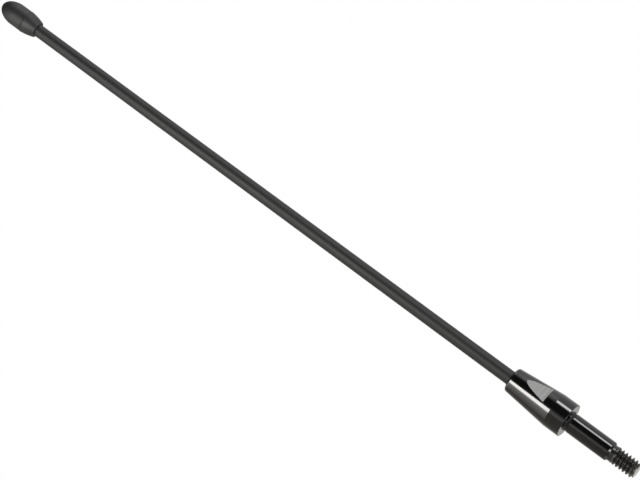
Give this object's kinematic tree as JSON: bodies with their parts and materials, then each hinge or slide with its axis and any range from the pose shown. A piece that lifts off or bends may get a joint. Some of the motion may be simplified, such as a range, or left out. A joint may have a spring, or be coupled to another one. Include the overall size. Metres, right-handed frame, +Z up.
{
  "type": "car mast aerial",
  "caption": "Short straight car aerial with a bulb tip on a slim tapered mast, a turned cone foot with spanner flats, and a screw-in stud.",
  "frame": {"origin": "centre of the ferrule's bare landing face, where the aerial sits on the car, at the top of the stud's shank", "axes": "+Z up along the mast to its tip, so the stud and its thread lie below zero; +X square to one of the two spanner flats"},
  "size_m": [0.0094, 0.0094, 0.2091],
  "materials": {
    "anodised_ferrule": "turned and black anodised, glossy, with bare milled flats and a bare faced seat",
    "black_stud": "turned steel with a thin oiled black finish, bare on the end of the thread",
    "brass_bush": "turned, plain",
    "glass_fibre": "pultruded glass fibre, natural",
    "copper_wire": "enamelled copper wire",
    "mast_rubber": "matt black, very slightly ribbed by its extrusion",
    "cap_rubber": "matt black moulding with a fine parting ring"
  },
  "bodies": {
    "root": {"base_ferrule": "anodised_ferrule", "mounting_stud": "black_stud", "contact_bush": "brass_bush", "core_rod": "glass_fibre", "aerial_winding": "copper_wire", "mast_sleeve": "mast_rubber", "tip_cap": "cap_rubber"}
  },
  "joints": []
}
